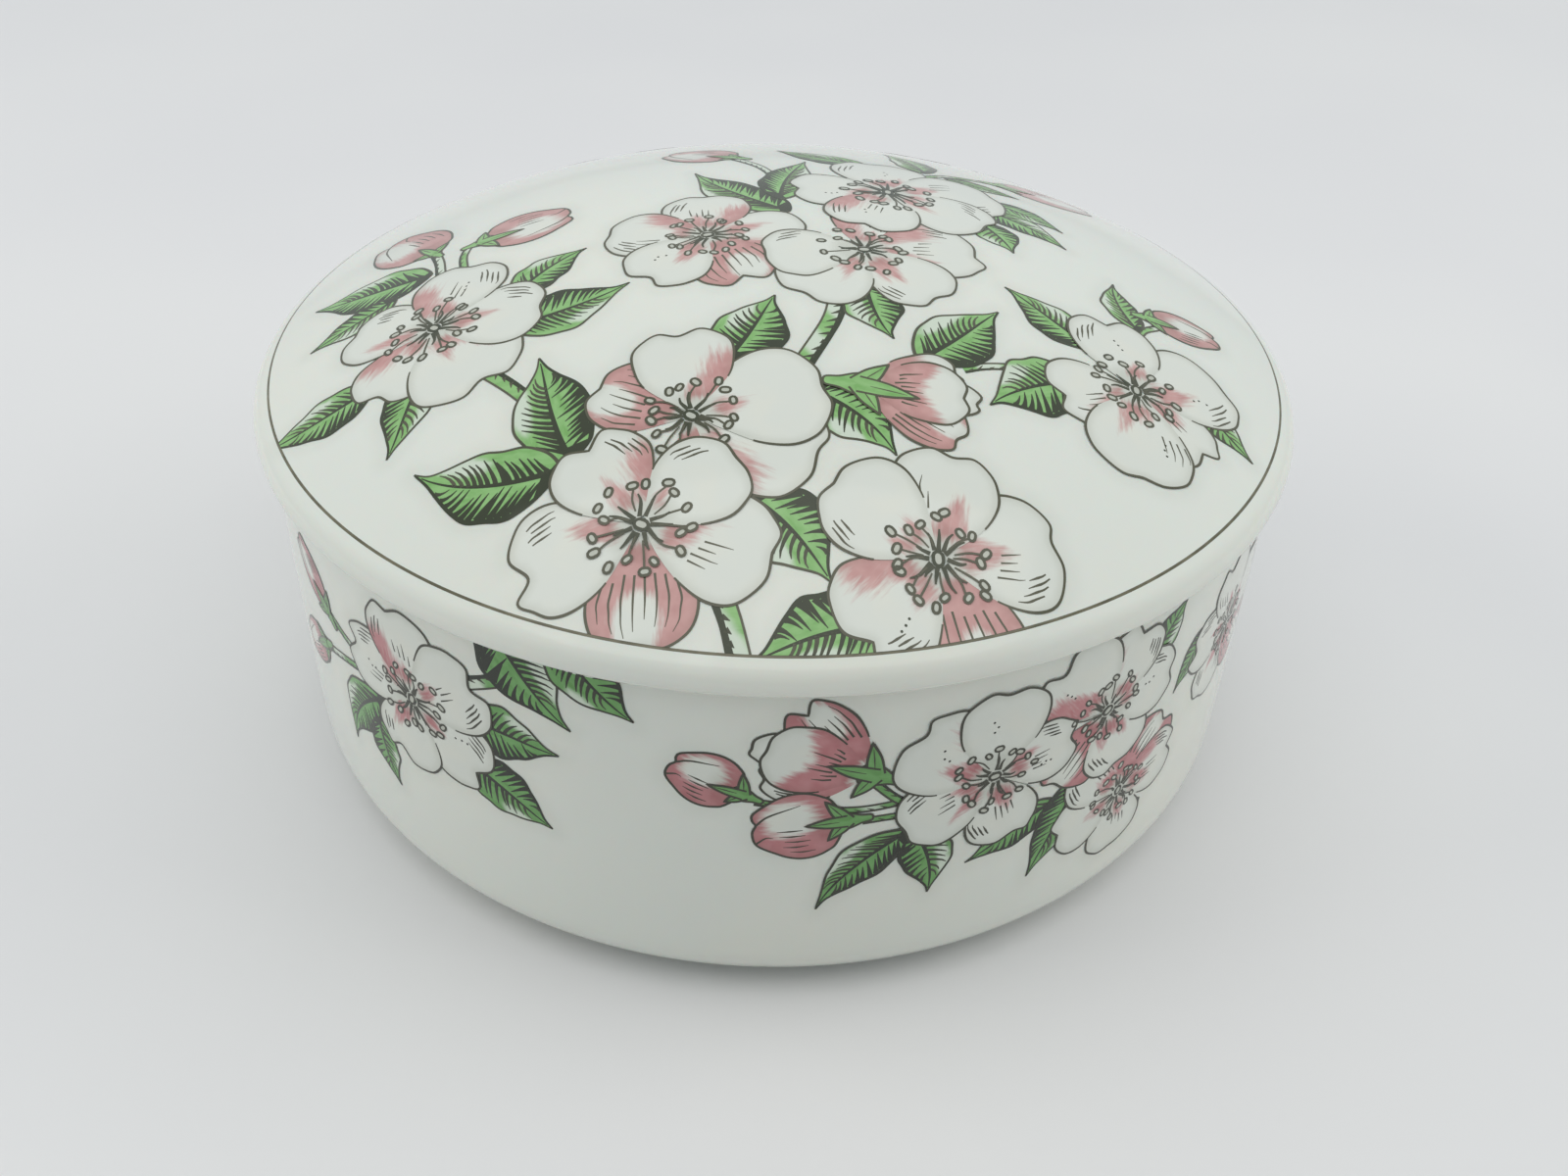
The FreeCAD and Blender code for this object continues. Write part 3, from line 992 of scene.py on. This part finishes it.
def glazed(build, colour):
    """Gives a material its colour, with the gloss and slow ripple of a fired glaze."""
    build.link(colour, build.shader.inputs["Base Color"])
    build.set(Roughness=GLAZE_ROUGHNESS, IOR=1.5)
    build.bump(build.noise(build.place(), 55, 1.0), 0.18, 0.0006)
    return build.material


def porcelain_material(name, bare_mask):
    """Glazed porcelain with painted shade beside print, left bare where bare_mask(build, radius, height)
    says so.
    """
    build = Nodes(name)
    place = build.place()
    parts = build.node("ShaderNodeSeparateXYZ")
    build.link(place, parts.inputs[0])
    x, y, z = parts.outputs
    squares = [build.math("MULTIPLY", across, across) for across in (x, y)]
    radius = build.math("SQRT", build.math("ADD", *squares))
    cloud = build.ramp(build.noise(place, 28, 3.0), 0.35, 0.7)
    glaze = build.mix(cloud, GLAZE, GLAZE_WARM)
    # Painted shade: the glaze darkens near print.
    painted_shade_near_print = build.ramp(build.attribute("near_print"), 0.0, 1.0, 0.0, 0.18)
    glaze = build.mix(painted_shade_near_print, glaze, DEEPEST_PAINTED_SHADE, "MULTIPLY")
    grit = build.ramp(build.noise(place, 2600, 2.0), 0.3, 0.75, 0.0, 0.35)
    bare = build.mix(grit, BARE, BARE_GRIT)
    mask = bare_mask(build, radius, z)
    roughness = build.ramp(mask, 0.0, 1.0, GLAZE_ROUGHNESS, BARE_ROUGHNESS)
    build.link(roughness, build.shader.inputs["Roughness"])
    build.set(Subsurface_Weight=0.12, Subsurface_Scale=0.0012)
    return glazed(build, build.mix(mask, glaze, bare))


def bare_foot_and_rim(build, _radius, z):
    """The foot ring's face, and the rim's flat where the lid sits."""
    foot = build.ramp(z, 0.35 * MM, 0.12 * MM)
    rim = build.ramp(z, (RIM_Z - 0.12) * MM, (RIM_Z - 0.02) * MM)
    return build.math("MAXIMUM", foot, rim)


def bare_seat(build, radius, z):
    """The lid's seat and the outside of its flange."""
    seat = build.ramp(z, (RIM_Z + 0.1) * MM, (RIM_Z + 0.02) * MM)
    outer = build.ramp(radius, (FLANGE_INNER + 0.6) * MM, (FLANGE_INNER + 1.2) * MM)
    return build.math("MULTIPLY", seat, outer)


def petal_material(name, pinks):
    build = Nodes(name)
    grain = build.node("ShaderNodeUVMap", uv_map="grain").outputs["UV"]
    tint = build.attribute("tint")
    streak = build.noise(build.stretched(grain, (0.35, 2.4, 1.0)), 1.0, 3.0, 0.6)
    ragged = build.math("ADD", tint, build.math("SUBTRACT", streak, 0.5))
    amount = build.ramp(ragged, 0.2, 0.84, 0.0, 0.95)
    depth = build.ramp(build.noise(grain, 0.5, 2.0), 0.3, 0.75)
    pink = build.mix(depth, *pinks)
    white = build.mix(build.ramp(build.noise(grain, 0.22, 2.0), 0.4, 0.8), GLAZE, GLAZE_WARM)
    # Painted shade: petal white darkens a little everywhere, more near outlines, in a blossom's heart and
    # inside the stamens' tips.
    reach = build.node("ShaderNodeVectorMath", operation="LENGTH")
    build.link(grain, reach.inputs[0])
    heart = build.ramp(reach.outputs["Value"], *HEART_SHADE, 0.68, 0.0)
    margin = build.ramp(build.attribute("edge"), 0.0, 1.0, 0.15, 0.55)
    shade = build.math("MAXIMUM", margin, heart)
    shade = build.math("MAXIMUM", shade, build.ramp(tint, -0.2, SHADED))
    colour = build.mix(amount, white, pink)
    return glazed(build, build.mix(shade, colour, DEEPEST_PAINTED_SHADE, "MULTIPLY"))


def leaf_material(name, greens):
    build = Nodes(name)
    grain = build.node("ShaderNodeUVMap", uv_map="grain").outputs["UV"]
    tint = build.attribute("tint")
    mottle = build.noise(build.stretched(grain, (0.5, 1.4, 1.0)), 0.8, 3.0)
    green = build.mix(build.ramp(mottle, 0.35, 0.8), *greens)
    amount = build.ramp(build.math("ADD", tint, build.math("MULTIPLY", mottle, 0.3)), 0.3, 0.95)
    return glazed(build, build.mix(amount, LEAF_PALE, green))


def line_material(name, inks, weighted=True):
    """Dark olive-brown, uneven, and paler in thin pen lines if weighted."""
    build = Nodes(name)
    uneven = build.noise(build.place(), 420, 3.0)
    if weighted:
        inked = build.math("ADD", build.attribute("tint"), build.math("MULTIPLY", uneven, 0.4))
        amount = build.ramp(inked, 0.75, 1.1)
    else:
        amount = build.ramp(uneven, 0.3, 0.7)
    return glazed(build, build.mix(amount, *inks))


# ---- the jar ----
def settle(piece, body, slot, *nodes):
    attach(piece, body)
    if nodes:
        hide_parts(*nodes)


def mark_near_print(porcelain, prints):
    """Stores how close each point of the porcelain is to print, for painted shade: 1 where they touch, 0
    far off.
    """
    spots = [vertex.co for piece in prints for vertex in piece.data.vertices]
    tree = KDTree(len(spots))
    for i, spot in enumerate(spots):
        tree.insert(spot, i)
    tree.balance()
    far = np.array([tree.find(vertex.co)[2] for vertex in porcelain.data.vertices])
    near = porcelain.data.attributes.new("near_print", "FLOAT", "POINT")
    near.data.foreach_set("value", soft(1 - far / MM / NEAR_PRINT))


bowl_body = lathe("bowl_body", bowl_profile(), porcelain_material("bowl_porcelain", bare_foot_and_rim))
lid_body = lathe("lid_body", lid_profile(), porcelain_material("lid_porcelain", bare_seat))
settle(bowl_body, "bowl", "porcelain", "bowl")
settle(lid_body, "lid", "porcelain", "lid")
pinstripe = pinstripe_ring(line_material("pinstripe_enamel", STRIPE_INKS, weighted=False))
settle(pinstripe, "lid", "enamel", "lid_pinstripe")

prints = (
    ("lid", lid_body, lid_blossom(), on_dome, LID_PINKS, LID_GREENS, LID_LINES),
    ("bowl", bowl_body, bowl_blossom(), on_wall, BOWL_PINK_PAINTED_SHADE, BOWL_GREEN_PAINTED_SHADE, BOWL_LINE_PAINTED_SHADE),
)
for body, porcelain, sheet, surface, pinks, greens, lines in prints:
    petals = sheet.piece(f"{body}_petals", "petal", surface, petal_material(f"{body}_petal_enamel", pinks))
    leaves = sheet.piece(f"{body}_leaves", "leaf", surface, leaf_material(f"{body}_leaf_enamel", greens))
    linework = sheet.piece(f"{body}_linework", "line", surface, line_material(f"{body}_line_enamel", lines))
    for piece in (petals, leaves, linework):
        settle(piece, body, "enamel")
    mark_near_print(porcelain, (petals, leaves))


# ---- floor, light, camera ----
FLOOR_SIZE = 3000.0

# places and sizes of lights in metres, power in watts
AIM = (0, 0, 0.03)  # where the lamps point
SKY_TOWARDS = (0, 0.6, 0.8)  # the sky is brightest here: above the back
SKY_SLOPES = (-0.6, 1.0)  # closeness to that direction, at the least and the most light
SKY_STRENGTH = (0.19, 0.79)
SKY_COLOUR = (0.9, 0.95, 1.0)
LAMP_COLOUR = (1.0, 0.974, 0.936)
LAMPS = (  # name, place, size, power, whether the glaze reflects it
    ("overhead", (0, -0.12, 0.75), (0.9, 0.6), 1.38, True),
    ("left_window", (-0.82, 0.0, 0.42), (0.7, 0.6), 2.4, False),
    ("right_window", (0.8, 0.04, 0.46), (0.7, 0.6), 2.2, False),
)

CAMERA_DISTANCE = 187.7  # from the middle of the pinstripe
CAMERA_RISE = 28.6  # degrees above the table
CAMERA_ROLL = 1.8  # degrees
AIM_ACROSS = 0.0084  # slopes by which it aims beside and below that middle
AIM_DOWN = 0.1575
LENS = 36.0  # focal length, with a sensor as wide
SENSOR = 36.0


def make_floor():
    build = Nodes("studio_floor")
    paper = build.ramp(build.noise(build.place(), 9, 2.0), 0.3, 0.7)
    build.link(build.mix(paper, *FLOOR_PAPER), build.shader.inputs["Base Color"])
    build.set(Roughness=0.75, Specular_IOR_Level=0.2)
    half = FLOOR_SIZE / 2
    corners_of_floor = [(-half, -half, 0), (half, -half, 0), (half, half, 0), (-half, half, 0)]
    floor = new_object("studio_floor", corners_of_floor, [(0, 1, 2, 3)], build.material)


def make_lamp(name, place, size, power, reflected):
    lamp = bpy.data.lights.new(name, "AREA")
    lamp.shape = "RECTANGLE"
    lamp.size, lamp.size_y = size
    lamp.energy = power
    lamp.color = LAMP_COLOUR
    made = bpy.data.objects.new(name, lamp)
    made.location = Vector(place)
    made.rotation_euler = (Vector(AIM) - Vector(place)).to_track_quat("-Z", "Y").to_euler()
    made.visible_glossy = reflected
    bpy.context.scene.collection.objects.link(made)


def make_sky():
    """Even light from all round, brighter above the back."""
    world = bpy.data.worlds.new("studio")
    world.use_nodes = True
    tree = world.node_tree
    ahead = tree.nodes.new("ShaderNodeTexCoord").outputs["Generated"]
    slope = tree.nodes.new("ShaderNodeVectorMath")
    slope.operation = "DOT_PRODUCT"
    slope.inputs[1].default_value = SKY_TOWARDS
    sky = tree.nodes.new("ShaderNodeMapRange")
    for name, value in zip(RANGE_ENDS, SKY_SLOPES + SKY_STRENGTH):
        sky.inputs[name].default_value = value
    tree.links.new(ahead, slope.inputs[0])
    tree.links.new(slope.outputs["Value"], sky.inputs["Value"])
    background = tree.nodes["Background"]
    background.inputs["Color"].default_value = (*SKY_COLOUR, 1.0)
    tree.links.new(sky.outputs["Result"], background.inputs["Strength"])
    bpy.context.scene.world = world


def make_camera():
    """Close above the front, looking down and rolled a little."""
    centre = Vector((0, 0, RIM_Z + STRIPE_RISE))
    rise = math.radians(CAMERA_RISE)
    back = Vector((0, -math.cos(rise), math.sin(rise)))
    up = Vector((0, math.sin(rise), math.cos(rise)))
    ahead = Vector((AIM_ACROSS, 0, 0)) - back - up * AIM_DOWN
    lens = bpy.data.cameras.new("camera")
    lens.lens = LENS
    lens.sensor_width = SENSOR
    lens.clip_start = 0.01
    camera = bpy.data.objects.new("camera", lens)
    place = Matrix.Translation((centre + back * CAMERA_DISTANCE) * MM)
    turn = ahead.to_track_quat("-Z", "Y").to_matrix().to_4x4()
    camera.matrix_world = place @ turn @ Matrix.Rotation(math.radians(CAMERA_ROLL), 4, "Z")
    bpy.context.scene.collection.objects.link(camera)
    bpy.context.scene.camera = camera


make_floor()
make_sky()
for lamp_values in LAMPS:
    make_lamp(*lamp_values)
make_camera()
bpy.context.scene.view_settings.view_transform = "Standard"
